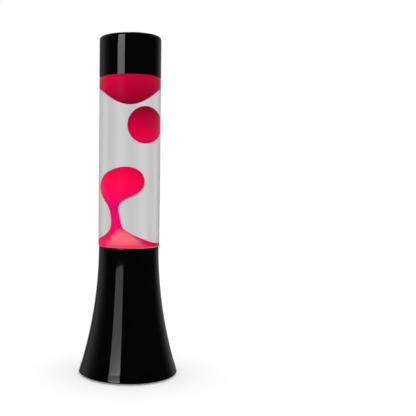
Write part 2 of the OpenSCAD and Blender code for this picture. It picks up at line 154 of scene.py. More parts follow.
def arc(x, z, r, a, b, steps=10):
    """Points on an arc about (x, z) from angle a to angle b, in degrees."""
    angles = [math.radians(a + (b - a) * i / steps) for i in range(steps + 1)]
    return [(x + r * math.cos(t), z + r * math.sin(t)) for t in angles]


def combine(obj, tool, operation):
    """Boolean of two closed meshes: UNION, DIFFERENCE or INTERSECT. The tool object is used up."""
    modifier = obj.modifiers.new(operation.lower(), "BOOLEAN")
    modifier.operation = operation
    modifier.solver = "MANIFOLD"
    modifier.object = tool
    with bpy.context.temp_override(object=obj, active_object=obj):
        bpy.ops.object.modifier_apply(modifier=modifier.name)
    spent = tool.data
    bpy.data.objects.remove(tool)
    bpy.data.meshes.remove(spent)
    return obj


def block(name, lo, hi):
    """A box between two corners."""
    mesh = bmesh.new()
    bmesh.ops.create_cube(mesh, size=1)
    for v in mesh.verts:
        v.co = Vector([lo[k] if v.co[k] < 0 else hi[k] for k in range(3)])
    return finish_mesh(name, mesh)


def drill(name, radius, low, high, at=(0, 0)):
    """An upright round boolean tool between two heights."""
    tool = lathe(name, [(0, low), (radius, low), (radius, high), (0, high)], 64)
    tool.data.transform(Matrix.Translation((at[0], at[1], 0)))
    return tool


def threaded(name, outside, inside, pitch, sides=72):
    """A tube with a helical wave on it. Each row of a side is (height, radius, wave height)."""
    mesh = bmesh.new()
    rings = []
    for z, radius, wave in outside + inside[::-1]:
        ring = []
        for i in range(sides):
            a = 2 * math.pi * i / sides
            r = radius + wave * math.cos(2 * math.pi * z / pitch - a)
            ring.append(mesh.verts.new((r * math.cos(a), r * math.sin(a), z)))
        rings.append(ring)
    for low, high in zip(rings, rings[1:] + rings[:1]):
        join_rings(mesh, low, high)
    return finish_mesh(name, mesh)


def wire(name, points, radius, closed=False):
    """A round wire along a list of points."""
    data = bpy.data.curves.new(name, "CURVE")
    data.dimensions = "3D"
    data.bevel_depth = radius
    data.bevel_resolution = 3
    data.use_fill_caps = not closed
    line = data.splines.new("POLY")
    line.points.add(len(points) - 1)
    for target, point in zip(line.points, points):
        target.co = (*point, 1)
    line.use_cyclic_u = closed
    line.use_smooth = True
    return new_object(name, data)


# ---------------------------------------------------------------- material helpers
def rgb(r, g, b):
    return (r, g, b, 1)


def darker(colour, share):
    return rgb(*[c * share for c in colour])


class Nodes:
    """A short way to write the node tree of a material or a world."""

    def __init__(self, owner, output="OutputMaterial"):
        self.owner = owner
        owner.use_nodes = True
        self.tree = owner.node_tree
        self.tree.nodes.clear()
        self.out = self.add(output)

    def add(self, kind, inputs=None, **settings):
        """A node with its inputs, each one a socket to link or a plain value."""
        made = self.tree.nodes.new("ShaderNode" + kind)
        for key, value in settings.items():
            setattr(made, key, value)
        for key, value in (inputs or {}).items():
            self.feed(made.inputs[key], value)
        return made

    def feed(self, socket, value):
        if isinstance(value, bpy.types.NodeSocket):
            self.tree.links.new(value, socket)
        else:
            socket.default_value = value

    def place(self):
        """The point in the object's own coordinates, which are the frame's."""
        return self.add("TexCoord").outputs["Object"]

    def noise(self, scale, detail):
        inputs = {"Vector": self.place(), "Scale": scale, "Detail": detail, "Roughness": 0.55}
        return self.add("TexNoise", inputs).outputs["Fac"]

    def spread(self, value, low, high, from_low=0.3, from_high=0.7, kind="LINEAR"):
        """Maps a value onto a range; the usual source range is that of a noise."""
        inputs = {"Value": value, "From Min": from_low, "From Max": from_high,
                  "To Min": low, "To Max": high}
        return self.add("MapRange", inputs, interpolation_type=kind).outputs["Result"]

    def smooth(self, value, from_low, from_high, low, high):
        return self.spread(value, low, high, from_low, from_high, "SMOOTHSTEP")

    def math(self, operation, *values):
        return self.add("Math", dict(enumerate(values)), operation=operation).outputs["Value"]

    def bump(self, height, distance, strength):
        inputs = {"Height": height, "Distance": distance, "Strength": strength}
        return self.add("Bump", inputs).outputs["Normal"]

    def mix(self, factor, a, b):
        made = self.add("Mix", data_type="RGBA")
        for key, value in (("Factor", factor), ("A", a), ("B", b)):
            self.feed([s for s in made.inputs if s.name == key and s.enabled][0], value)
        return [s for s in made.outputs if s.enabled][0]

    def ramp(self, value, stops):
        """Colours by value, from a list of (position, (r, g, b))."""
        made = self.add("ValToRGB", {"Fac": value})
        elements = made.color_ramp.elements
        while len(elements) < len(stops):
            elements.new(0.5)
        for element, (at, colour) in zip(elements, stops):
            element.position = at
            element.color = rgb(*colour)
        return made.outputs["Color"]

    def finish(self, shader):
        """Ends the tree with a shader and gives the material or world back."""
        self.tree.links.new(shader, self.out.inputs["Surface"])
        return self.owner

    def surface(self, **inputs):
        """Ends the tree with a principled shader; an underscore in a name stands for a space."""
        shader = self.add("BsdfPrincipled", {k.replace("_", " "): v for k, v in inputs.items()})
        return self.finish(shader.outputs["BSDF"])


def paint(name):
    """The empty node tree of a new material."""
    return Nodes(bpy.data.materials.new(name))


def gloss_black():
    """Black enamel with a faint orange peel and a little dust."""
    n = paint("gloss_black")
    dust = n.spread(n.noise(90, 6), 0, 1)
    return n.surface(
        Base_Color=n.mix(dust, rgb(0.0005, 0.0005, 0.0006), rgb(0.0011, 0.0011, 0.0012)),
        Roughness=n.spread(n.noise(160, 5), 0.02, 0.055),
        IOR=1.5,
        Normal=n.bump(n.noise(700, 2), 0.00001, 0.12))


def satin_metal(name, colour, low, high):
    """Bare metal, mottled, with a fine grain; low and high bound its roughness."""
    n = paint(name)
    mottled = n.spread(n.noise(60, 6), 0, 1)
    grain = n.noise(900, 4)
    return n.surface(
        Base_Color=n.mix(mottled, darker(colour, 0.82), rgb(*colour)),
        Metallic=1.0,
        Roughness=n.spread(grain, low, high),
        Normal=n.bump(grain, 0.00002, 0.3))


def moulded(name, colour, low, high):
    """Plastic, rubber or ceramic with a fine texture; low and high bound its roughness."""
    n = paint(name)
    mottled = n.spread(n.noise(80, 6), 0, 1)
    return n.surface(
        Base_Color=n.mix(mottled, darker(colour, 0.8), rgb(*colour)),
        Roughness=n.spread(n.noise(300, 5), low, high),
        Normal=n.bump(n.noise(1200, 3), 0.00003, 0.5))


def clear(name, ior):
    """Glass or liquid with soft reflections and a slight waviness."""
    n = paint(name)
    return n.surface(
        Base_Color=rgb(0.985, 0.985, 0.985),
        Roughness=n.spread(n.noise(40, 3), 0.0, 0.004),
        IOR=ior,
        Specular_Tint=rgb(0.06, 0.06, 0.06),
        Transmission_Weight=1.0,
        Normal=n.bump(n.noise(30, 2), 0.00002, 0.05))


black = gloss_black()
plate_black = moulded("plate_black", (0.035, 0.035, 0.036), 0.35, 0.5)
zinc = satin_metal("zinc_steel", (0.55, 0.56, 0.58), 0.28, 0.42)
brass = satin_metal("brass", (0.74, 0.52, 0.24), 0.22, 0.4)
bulb_metal = satin_metal("bulb_metal", (0.78, 0.77, 0.74), 0.2, 0.38)
tungsten = satin_metal("tungsten", (0.35, 0.34, 0.33), 0.35, 0.5)
crown_gold = satin_metal("crown_gold", (0.8, 0.62, 0.28), 0.18, 0.32)
rubber = moulded("foot_rubber", (0.018, 0.018, 0.019), 0.62, 0.82)
holder_black = moulded("holder_black", (0.03, 0.03, 0.032), 0.35, 0.5)
ceramic = moulded("ceramic_cream", (0.72, 0.66, 0.54), 0.4, 0.6)
liner_grey = moulded("liner_grey", (0.6, 0.6, 0.57), 0.5, 0.7)
glass = clear("clear_glass", 1.5)
liquid = clear("clear_liquid", 1.36)


def painted_light_patches(n, place, glow, centre_x, colour, heights):
    """Paints light into glow in front of and behind centre_x: colour where the bulb shines through.

    Of the four heights, the patches are strongest between the middle two and gone at the top one.
    """
    x, y, z = (place.outputs[k] for k in "XYZ")
    start, full, fade, gone = heights
    azimuth = n.math("ARCTAN2", n.math("SUBTRACT", x, centre_x), y)
    lobes = n.math("COSINE", n.math("MULTIPLY", azimuth, 2.0))
    ragged = n.math("ADD", lobes, n.spread(n.noise(110, 2), -0.35, 0.35))
    inside = n.smooth(ragged, -0.6, 0.35, 0.0, 1.0)
    rising = n.smooth(z, start, full, 0.2, 1.0)
    fading = n.smooth(z, fade, gone, 1.0, 0.0)
    amount = n.math("MULTIPLY", inside, n.math("MULTIPLY", rising, fading))
    return n.mix(amount, glow, rgb(*colour))


def wax_material(name, stops, low, high, base, shade=((-1, 1.05), (1, 0.96)), side=(1.07, 0.9),
                 warm=None):
    """Warm wax with a painted glow for the bulb's light: colour by height, then painted shade by the way
    it faces.

    stops are the colours from height low to height high: the wax's own colour, with painted light in
    their brightness. shade gives the painted brightness for two values of the normal's Z, and side for
    its X at -1 and 1. warm is (centre_x, colour, heights) for the patches of painted light. The coat
    only darkens the glow where the surface is seen at a shallow angle.
    """
    n = paint(name)
    place = n.add("SeparateXYZ", {"Vector": n.place()})
    # The glow by height is painted light: the bulb's light through the wax, on the wax's own colour.
    glow = n.ramp(n.spread(place.outputs["Z"], 0.0, 1.0, low, high), stops)
    if warm:
        glow = painted_light_patches(n, place, glow, *warm)
    # Painted shade: the glow is made brighter or darker by which way the surface faces, up or down and
    # left or right.
    facing = n.add("SeparateXYZ", {"Vector": n.add("NewGeometry").outputs["Normal"]})
    (face_0, bright_0), (face_1, bright_1) = shade
    painted_shade_by_tilt = n.spread(facing.outputs["Z"], bright_0, bright_1, face_0, face_1)
    painted_shade_by_side = n.spread(facing.outputs["X"], *side, -1.0, 1.0)
    cloud = n.spread(n.noise(45, 3), 1.04, 1.13)
    return n.surface(
        Base_Color=rgb(*base),
        Roughness=n.spread(n.noise(120, 3), 0.35, 0.5),
        Specular_IOR_Level=0.0,
        Coat_Weight=0.5,
        Coat_IOR=1.0,
        Coat_Roughness=0.8,
        Coat_Tint=rgb(0.84, 0.84, 0.88),
        Emission_Color=glow,
        Emission_Strength=n.math("MULTIPLY", n.math("MULTIPLY", painted_shade_by_tilt, painted_shade_by_side), cloud),
        Normal=n.bump(n.noise(70, 2), 0.0003, 0.15))


# ---------------------------------------------------------------- base shell
# The flare runs from the rim down to the step at HEM_Z; below the step the hem runs to the foot.
RIM_R = 31.4 * MM
RIM_ROUND = 0.8 * MM
HEM_Z = 10.4 * MM
HEM_R = 49.05 * MM
HEM_STEP = 0.6 * MM
HEM_DROP = 1.2 * MM
HEM_HOLLOW = 0.05 * MM
# The points of the step, as shares of its height and of its width.
STEP_SHARES = [(0.25, 0.15), (0.75, 0.85)]
FLARE_H = RIM_Z - HEM_Z
FLARE_W = HEM_R - RIM_R
FLARE_RAD = (FLARE_H ** 2 + FLARE_W ** 2) / (2 * FLARE_W)
FLARE_END = 0.3 * MM
ROLL_R = 1 * MM
ROLL_X = FOOT_R - ROLL_R
ROLL_Z = FOOT_GAP + ROLL_R
LIP_R = FOOT_R - 4.8 * MM
COLLAR_R = GLASS_R - GLASS_T - 0.7 * MM
COLLAR_Z = HEEL_Z - 1 * MM
COLLAR_EDGE = 0.5 * MM
# Height over which the wall inside the collar runs out to the flare.
COLLAR_RUN = 2 * MM
FOOT_CORNER = 0.6 * MM
# Flat seat of the cord grommet at the rear, with its notch.
SEAT_Y = FOOT_R - 3.3 * MM
SEAT_HALF = 7 * MM
SEAT_LAP = 1 * MM
SEAT_TOP = FOOT_GAP + 15 * MM
SEAT_CUT_TOP = INLET_Z + 3 * MM
NOTCH_R = 4.3 * MM
NOTCH_FROM = 30 * MM
NOTCH_TO = 100 * MM
# Lugs that the cover plate is screwed to.
LUG_ANGLES = (-90, 30, 150)
LUG_AT = 43 * MM
LUG_INNER = 3.5 * MM
LUG_HALF = 4.5 * MM
LUG_OUTER = FOOT_R - 1.3 * MM
LUG_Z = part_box("base_plate")[1].z
LUG_T = 2.3 * MM
LUG_HOLE_R = 1.65 * MM


def flare_r(z):
    """Radius of the base's flared side, one large arc that is upright at the rim."""
    return RIM_R + FLARE_RAD - math.sqrt(FLARE_RAD ** 2 - (RIM_Z - z) ** 2)


def flare(offset, low, high, steps=40):
    """The flared side between two heights, with a point close to each end to keep the ends crisp."""
    heights = [low + (high - low) * i / steps for i in range(steps)]
    heights = [low, low + FLARE_END] + heights[1:] + [high - FLARE_END, high]
    return [(flare_r(z) + offset, z) for z in heights]


def hem(offset, steps=12):
    """The hem from just above the rounded edge to the step, hollowed a little."""
    points = []
    for i in range(1, steps + 1):
        u = i / steps
        straight = FOOT_R + (HEM_R + HEM_STEP - FOOT_R) * u
        height = ROLL_Z + (HEM_Z - HEM_DROP - ROLL_Z) * u
        points.append((straight - 4 * HEM_HOLLOW * u * (1 - u) + offset, height))
    return points


def base_side():
    """Outer side of the base from its bottom edge up to the rim."""
    step = [(HEM_R + HEM_STEP * (1 - inward), HEM_Z - HEM_DROP * (1 - up)) for up, inward in STEP_SHARES]
    return (arc(ROLL_X, ROLL_Z, ROLL_R, -90, 10, 14)
            + hem(0)
            + step
            + flare(0, HEM_Z, RIM_Z - RIM_ROUND)
            + arc(RIM_R - RIM_ROUND, RIM_Z - RIM_ROUND, RIM_ROUND, 6, 90, 8))


def inside_base(tool):
    """Cuts a tool back to the base's outline."""
    outline = lathe("base_outline", [(0, FOOT_GAP)] + base_side() + [(0, RIM_Z)])
    return combine(tool, outline, "INTERSECT")


def add_grommet_seat(shell):
    """A flat wall at the rear in place of the round side."""
    cut = block("seat_cut", (-SEAT_HALF, SEAT_Y, 0), (SEAT_HALF, 2 * FOOT_R, SEAT_CUT_TOP))
    combine(shell, cut, "DIFFERENCE")
    half = SEAT_HALF + SEAT_LAP
    wall = block("seat_wall", (-half, SEAT_Y - WALL, FOOT_GAP), (half, SEAT_Y, SEAT_TOP))
    combine(shell, inside_base(wall), "UNION")


def add_lug(shell, angle):
    """A lug with its screw hole."""
    turn = Matrix.Rotation(math.radians(angle), 4, "Z")
    lug = block("lug", (LUG_AT - LUG_INNER, -LUG_HALF, LUG_Z), (LUG_OUTER, LUG_HALF, LUG_Z + LUG_T))
    lug.data.transform(turn)
    combine(shell, inside_base(lug), "UNION")
    hole = drill("lug_hole", LUG_HOLE_R, 0, 3 * LUG_Z, turn @ Vector((LUG_AT, 0, 0)))
    combine(shell, hole, "DIFFERENCE")


def cut_notch(shell):
    """The grommet's notch, round at the top and open to the bottom."""
    bore = drill("notch_bore", NOTCH_R, NOTCH_FROM, NOTCH_TO)
    lie_down = Matrix.Rotation(math.radians(-90), 4, "X")
    bore.data.transform(Matrix.Translation((0, 0, INLET_Z)) @ lie_down)
    combine(shell, bore, "DIFFERENCE")
    slot = block("notch_slot", (-NOTCH_R, NOTCH_FROM, -10 * MM), (NOTCH_R, NOTCH_TO, INLET_Z))
    combine(shell, slot, "DIFFERENCE")


def make_base_shell():
    profile = [(LIP_R, FOOT_GAP)] + base_side()
    profile += [(COLLAR_R + COLLAR_EDGE, RIM_Z), (COLLAR_R, RIM_Z - COLLAR_EDGE), (COLLAR_R, COLLAR_Z)]
    profile += flare(-WALL, COLLAR_Z - COLLAR_RUN, HEM_Z)
    profile += hem(-WALL)[::-1]
    profile += [(FOOT_R - WALL - FOOT_CORNER, FOOT_GAP + WALL), (LIP_R, FOOT_GAP + WALL)]
    shell = lathe("base_shell_skin", profile)
    add_grommet_seat(shell)
    for angle in LUG_ANGLES:
        add_lug(shell, angle)
    cut_notch(shell)
    return piece(shell, "base", "gloss_black", black, "base_shell")


# ---------------------------------------------------------------- top cap
CAP_FILLET = 3.5 * MM
CAP_EDGE = 0.15 * MM


def make_top_cap():
    middle_x, middle_z = CAP_R - CAP_FILLET, TOP_Z - CAP_FILLET
    profile = [(CAP_R - WALL, CAP_Z), (CAP_R - CAP_EDGE, CAP_Z), (CAP_R, CAP_Z + CAP_EDGE)]
    profile += arc(middle_x, middle_z, CAP_FILLET, 0, 90, 16)
    profile += [(0, TOP_Z), (0, TOP_Z - WALL)]
    profile += arc(middle_x, middle_z, CAP_FILLET - WALL, 90, 0, 10)
    return piece(lathe("top_cap_skin", profile), "top_cap", "gloss_black", black, "top_cap")


# ---------------------------------------------------------------- bottle and liquid
HEEL_R = COLLAR_R - 0.4 * MM
HEEL_IN = HEEL_R - GLASS_T
HEEL_ROUND = 2.5 * MM
INNER_R = GLASS_R - GLASS_T
FLOOR_Z = HEEL_Z + 3 * MM
# The inner wall widens from the heel to the body over this much below and above the rim.
WIDEN = 2.5 * MM
# It narrows to the spigot inside the cap over this much below the cap.
NARROW = 5 * MM
SPIGOT_R = CAP_R - WALL - 0.6 * MM
SPIGOT_IN = SPIGOT_R - GLASS_T
SHOULDER_Z = CAP_Z + 3.4 * MM
SHOULDER_H = 16.5 * MM
BODY_TOP_R = 1.8 * MM
BODY_TOP_GAP = 0.1 * MM
BODY_FOOT_R = 0.8 * MM
BODY_FOOT_Z = RIM_Z + 0.05 * MM
# Neck for the crown closure, from outside to inside: radius and depth below the lip in millimetres.
NECK_ROWS = [(12.6, 10), (13.9, 9.4), (13.9, 7.4), (13, 6.6), (13, 1.2), (11.8, 0), (10.2, 0), (9.6, 0.6)]
# The liquid reaches this far into the glass, so that no air shows between them.
LIQUID_LAP = 0.1 * MM


def shoulder(foot_r, neck_r, steps=24):
    """Wave-shaped shoulder from one radius in to another."""
    points = []
    for i in range(steps + 1):
        u = i / steps
        r = neck_r + (foot_r - neck_r) * (1 + math.cos(math.pi * u)) / 2
        points.append((r, SHOULDER_Z + SHOULDER_H * u))
    return points


def bottle_inside(lap):
    """The inside wall from the floor's centre up to the cap; lap moves it into the glass."""
    return ([(0, FLOOR_Z - lap)]
            + arc(HEEL_IN - HEEL_ROUND, FLOOR_Z + HEEL_ROUND, HEEL_ROUND + lap, -90, 0, 8)
            + [(HEEL_IN + lap, RIM_Z - WIDEN), (INNER_R + lap, RIM_Z + WIDEN),
               (INNER_R + lap, CAP_Z - NARROW), (SPIGOT_IN + lap, CAP_Z)])


def make_bottle():
    neck = [(r * MM, LIP_Z - down * MM) for r, down in NECK_ROWS]
    profile = [(0, HEEL_Z)]
    profile += arc(HEEL_R - HEEL_ROUND, HEEL_Z + HEEL_ROUND, HEEL_ROUND, -90, 0, 8)
    profile += [(HEEL_R, BODY_FOOT_Z)]
    profile += arc(GLASS_R - BODY_FOOT_R, BODY_FOOT_Z + BODY_FOOT_R, BODY_FOOT_R, -90, 0, 8)
    profile += arc(GLASS_R - BODY_TOP_R, CAP_Z - BODY_TOP_R - BODY_TOP_GAP, BODY_TOP_R, 0, 90, 10)
    profile += shoulder(SPIGOT_R, neck[0][0])
    profile += neck
    profile += shoulder(SPIGOT_IN, neck[-1][0])[::-1]
    profile += bottle_inside(0)[::-1]
    return piece(lathe("bottle_glass", profile), "globe", "clear_glass", glass, "glass_bottle")


def make_liquid():
    profile = bottle_inside(LIQUID_LAP)[:-1] + [(SPIGOT_IN, CAP_Z), (0, CAP_Z)]
    return piece(lathe("liquid_fill", profile), "globe", "clear_liquid", liquid, "lamp_liquid")


# ---------------------------------------------------------------- wax
# Gap between the wax and the wall that flattens it.
WAX_GAP = 0.15 * MM
# Column: height above the rim, left and right ends of the slice, in millimetres.
COLUMN_ROWS = [
    (-11.0, -24, 24), (-9.5, -26.8, 26.8), (-4.0, -28, 28), (-1.2, -30, 30), (0.4, -31, 30.2),
    (1.2, -30.7, 26.5), (2.2, -29.4, 21), (4.0, -27.4, 16.5), (6.2, -24, 12.5), (8.8, -21, 7.8),
    (11.4, -18.4, 3.6), (14.3, -16.2, -0.2), (17.7, -14.7, -4.0), (21.0, -14.1, -5.6),
    (26.0, -13.9, -6.5), (33.0, -14.4, -7.6), (38.0, -15.3, -8.1), (42.2, -16.8, -7.6),
    (46.0, -18.7, -5.6), (49.5, -20.2, -1.2), (53.0, -21.4, 4.4), (57.0, -22.5, 8.6),
    (61.5, -22.7, 11.0), (68.0, -21.6, 11.9), (74.0, -19.2, 10.5), (77.4, -16.0, 8.4),
    (80.4, -11.4, 5.0), (82.0, -6.8, 0.9), (82.5, -4.2, -2.2)]
# Painted glow of the column by height, the wax's own colour with the bulb's light painted in, from 5 mm
# below the rim to 83 mm above it.
COLUMN_GLOW = [
    (0.0, (0.95, 0.0, 0.12)), (0.28, (0.97, 0.0, 0.11)), (0.37, (0.96, 0.0, 0.12)),
    (0.44, (0.77, 0.0, 0.12)), (0.53, (0.74, 0.0, 0.118)), (0.6, (0.87, 0.0, 0.115)),
    (0.7, (1.0, 0.0, 0.085)), (0.8, (1.0, 0.0, 0.07)), (0.9, (0.92, 0.0, 0.058)),
    (1.0, (0.84, 0.0, 0.055))]
COLUMN_BASE = (0.2, 0.0015, 0.014)
# Patches of painted light on the mound, where the bulb shines through: middle, colour and heights.
WARM_X = -3 * MM
WARM_COLOUR = (1.0, 0.165, 0.21)
WARM_HEIGHTS = [RIM_Z + z * MM for z in (-1, 7, 12, 20)]
DROP_X = 12.2 * MM
DROP_HALF_W = 14.0 * MM
DROP_INSET = 0.1 * MM
# The drop's upper half is a little slimmer than a ball's.
DROP_TAPER = 1.08
# Painted glow of the drop by height: the wax's own colour, painted brighter low down where the bulb's
# light reaches it.
DROP_GLOW = [
    (0.0, (0.62, 0.0, 0.05)), (0.12, (0.76, 0.0, 0.062)), (0.3, (0.71, 0.0, 0.054)),
    (0.5, (0.59, 0.0, 0.041)), (0.7, (0.46, 0.0, 0.03)), (1.0, (0.28, 0.0, 0.017))]
# The same wax as the column's, painted darker: painted shade.
DROP_BASE = (0.1, 0.0004, 0.005)
# The pool's underside is a dish: height = bottom + curve * radius squared, in metres.
POOL_BOTTOM = CAP_Z - 28.2 * MM
POOL_CURVE = 32.9
POOL_R = SPIGOT_IN - 0.1 * MM
# The dish runs a little past that radius, to where it meets the glass.
POOL_DISH_R = SPIGOT_IN + 0.35 * MM
POOL_WALL_TOP = SHOULDER_Z - 0.5 * MM
# Its top inside the cap: radius and height above the shoulder's foot in millimetres.
POOL_TOP_ROWS = [(26.5, 2.5), (24.2, 4.5), (21.3, 6.5), (0, 6.5)]
# Painted glow of the pool by height: the wax's own colour, painted darker towards its bottom.
POOL_GLOW = [
    (0.0, (0.38, 0.0, 0.026)), (0.25, (0.46, 0.0, 0.029)), (0.6, (0.5, 0.0, 0.032)),
    (1.0, (0.56, 0.0, 0.035))]
# The same wax as the column's, painted darker: painted shade.
POOL_BASE = (0.08, 0.0003, 0.004)


def spline(rows, steps):
    """Smooth rows through the given ones (Catmull-Rom), steps per span."""
    padded = [rows[0], *rows, rows[-1]]
    out = []
    for i in range(1, len(padded) - 2):
        p0, p1, p2, p3 = padded[i - 1:i + 3]
        for k in range(steps):
            t = k / steps
            out.append(tuple(
                0.5 * (2 * b + (c - a) * t + (2 * a - 5 * b + 4 * c - d) * t * t
                       + (3 * b - a - 3 * c + d) * t ** 3)
                for a, b, c, d in zip(p0, p1, p2, p3)))
    out.append(tuple(rows[-1]))
    return out


def wall_at(z):
    """Inner radius of the glass at height z."""
    if z < RIM_Z - WIDEN:
        return HEEL_IN
    if z < RIM_Z + WIDEN:
        return HEEL_IN + (INNER_R - HEEL_IN) * (z - RIM_Z + WIDEN) / (2 * WIDEN)
    if z < CAP_Z - NARROW:
        return INNER_R
    return INNER_R + (SPIGOT_IN - INNER_R) * min(1, (z - CAP_Z + NARROW) / NARROW)


def loft(name, rows, sides=96):
    """A body of round slices: each row is (height, left, right); the wall flattens what touches it."""
    mesh = bmesh.new()
    rings = []
    for z, left, right in rows:
        centre, radius = (left + right) / 2, max((right - left) / 2, 1e-5)
        limit = wall_at(z) - WAX_GAP
        ring = []
        for i in range(sides):
            a = 2 * math.pi * i / sides
            x, y = centre + radius * math.cos(a), radius * math.sin(a)
            reach = math.hypot(x, y)
            if reach > limit:
                x, y = x * limit / reach, y * limit / reach
            ring.append(mesh.verts.new((x, y, z)))
        rings.append(ring)
    for low, high in zip(rings, rings[1:]):
        join_rings(mesh, low, high)
    mesh.faces.new(rings[0][::-1])
    mesh.faces.new(rings[-1])
    return finish_mesh(name, mesh)


def make_column():
    rows = [(RIM_Z + z * MM, left * MM, right * MM) for z, left, right in COLUMN_ROWS]
    body = loft("wax_column_body", spline(rows, 6))
    # The column's wax glows with painted light, with the default painted shade by facing and patches of
    # painted light on the mound.
    material = wax_material("pink_wax", COLUMN_GLOW, RIM_Z - 5 * MM, RIM_Z + 83 * MM, COLUMN_BASE,
                            warm=(WARM_X, WARM_COLOUR, WARM_HEIGHTS))
    return piece(body, "globe", "pink_wax", material, "wax_column")


def make_drop():
    centre_z = (drop_lo.z + drop_hi.z) / 2
    half_h = (drop_hi.z - drop_lo.z) / 2 - DROP_INSET
    rows = []
    steps = 48
    for i in range(steps + 1):
        t = math.pi * i / steps
        up = -math.cos(t)
        width = DROP_HALF_W * math.sin(t) ** (1.0 if up < 0 else DROP_TAPER)
        rows.append((centre_z + half_h * up, DROP_X - width, DROP_X + width))
    body = loft("wax_drop_body", rows)
    # magenta_wax is the column's wax with darker painted light, and painted shade that is bright
    # underneath and dark on top.
    material = wax_material("magenta_wax", DROP_GLOW, drop_lo.z, drop_hi.z, DROP_BASE,
                            shade=((-1, 1.1), (1, 0.8)))
    return piece(body, "wax_drop", "magenta_wax", material, "wax_drop")


def make_pool():
    steps = 40
    radii = [POOL_DISH_R * i / steps for i in range(steps + 1)]
    profile = [(r, POOL_BOTTOM + POOL_CURVE * r * r) for r in radii]
    profile += [(POOL_R, CAP_Z), (POOL_R, POOL_WALL_TOP)]
    profile += [(r * MM, SHOULDER_Z + up * MM) for r, up in POOL_TOP_ROWS]
    body = lathe("wax_pool_body", profile, 128)
    # red_wax is the column's wax with darker painted light. Its painted shade darkens where it faces
    # straight down and lightens its left side.
    material = wax_material("red_wax", POOL_GLOW, POOL_BOTTOM, CAP_Z, POOL_BASE,
                            shade=((-1.0, 0.45), (-0.55, 1.0)), side=(1.22, 0.8))
    return piece(body, "globe", "red_wax", material, "wax_pool", angle=60)


# ---------------------------------------------------------------- bottle closure and coil
FLUTES = 21
FLUTE_DEPTH = 0.6 * MM
CROWN_SHEET = 0.35 * MM
CROWN_FLAT_R = 11.3 * MM
CROWN_ROUND = 1.6 * MM
CROWN_SKIRT_R = 14.25 * MM
# Depth below the top at which the flutes begin, and how slowly they grow from there.
FLUTE_START = 1.3 * MM
FLUTE_GROWTH = 1.3


def make_crown():
    """Crown closure of thin sheet, with flutes that grow towards its edge."""
    top, edge = crown_hi.z, crown_lo.z
    start = top - FLUTE_START

    def ripple(angle, height):
        depth = max(0, min(1, (start - height) / (start - edge)))
        return FLUTE_DEPTH * depth ** FLUTE_GROWTH * math.cos(FLUTES * angle)

    outer = [(0, top), (CROWN_FLAT_R * 0.6, top)]
    outer += arc(CROWN_FLAT_R, top - CROWN_ROUND, CROWN_ROUND, 90, 12, 8)
    last_r, last_z = outer[-1]
    steps = 10
    for i in range(1, steps + 1):
        u = i / steps
        outer.append((last_r + (CROWN_SKIRT_R - last_r) * u, last_z + (edge - last_z) * u))
    inner = [(max(0, r - CROWN_SHEET), z - (CROWN_SHEET if r < CROWN_FLAT_R else 0))
             for r, z in outer[::-1]]
    inner[-1] = (0, top - CROWN_SHEET)
    sheet = lathe("crown_cap_sheet", outer + inner, 12 * FLUTES, ripple)
    return piece(sheet, "globe", "crown_gold", crown_gold, "crown_cap", angle=50)


def make_wire_coil():
    """Close-wound spring bent into a ring, sunk in the wax on the bottle's floor."""
    middle = (coil_lo.z + coil_hi.z) / 2
    wire_r = 0.5 * MM
    coil_r = (coil_hi.z - coil_lo.z) / 2 - wire_r
    ring_r = coil_hi.x - coil_r - wire_r
    turns, per_turn = 32, 14
    points = []
    for i in range(turns * per_turn):
        ring_a = 2 * math.pi * i / (turns * per_turn)
        coil_a = 2 * math.pi * i / per_turn
        r = ring_r + coil_r * math.cos(coil_a)
        z = middle + coil_r * math.sin(coil_a)
        points.append((r * math.cos(ring_a), r * math.sin(ring_a), z))
    spring = wire("wire_coil_spring", points, wire_r, closed=True)
    return piece(spring, "globe", "zinc_steel", zinc, "wire_coil")


# ---------------------------------------------------------------- bulb and holder
PITCH = 2.822 * MM
THREAD_R = 6.545 * MM
THREAD_WAVE = 0.4 * MM
THREAD_PLAY = 0.35 * MM
TIN = 0.35 * MM
# Bulb cap below and above its thread: height from the cap's foot or the thread's top, and radius, in mm.
CAP_FOOT_ROWS = [(0, 5.9), (0.15, 6.1)]
CAP_FLARE_ROWS = [(0.5, 6.85), (1, 7), (2.8, 8.5), (3.2, 8.7)]
CAP_FLARE_H = 3.3 * MM
CAP_FOOT_H = 0.8 * MM
# Holder shell: a flat ring at its foot, which turns up into the thread.
HOLDER_RING_R = THREAD_R + 2.2 * MM
HOLDER_RING_T = 0.45 * MM
HOLDER_BEND_H = 0.6 * MM
HOLDER_FOOT_H = 1.4 * MM
NIPPLE_BORE = 3.9 * MM
NIPPLE_PITCH = 1 * MM
NIPPLE_DEPTH = 0.28 * MM
# Bulb: seal, then a bowl that opens to its widest at WIDE_Z, then the dome.
SEAL_R = 5.3 * MM
SEAL_H = 4.5 * MM
SEAL_ROUND = 0.8 * MM
SEAL_ROUND_H = 5.8 * MM
NECK_R = 7.8 * MM
WIDE_R = bulb_hi.x
BOWL_Z = BULB_Z + 22.4 * MM
WIDE_Z = BULB_Z + 54 * MM
BULB_WALL = 0.8 * MM
# The silvering ends and the frost begins between these heights.
FROST_FROM = BULB_Z + 54.5 * MM
FROST_TO = BULB_Z + 55.5 * MM


def thread_rows(low, high, radius, wave, pitch=PITCH, per_turn=12):
    steps = math.ceil((high - low) / pitch * per_turn)
    return [(low + (high - low) * i / steps, radius, wave) for i in range(steps + 1)]


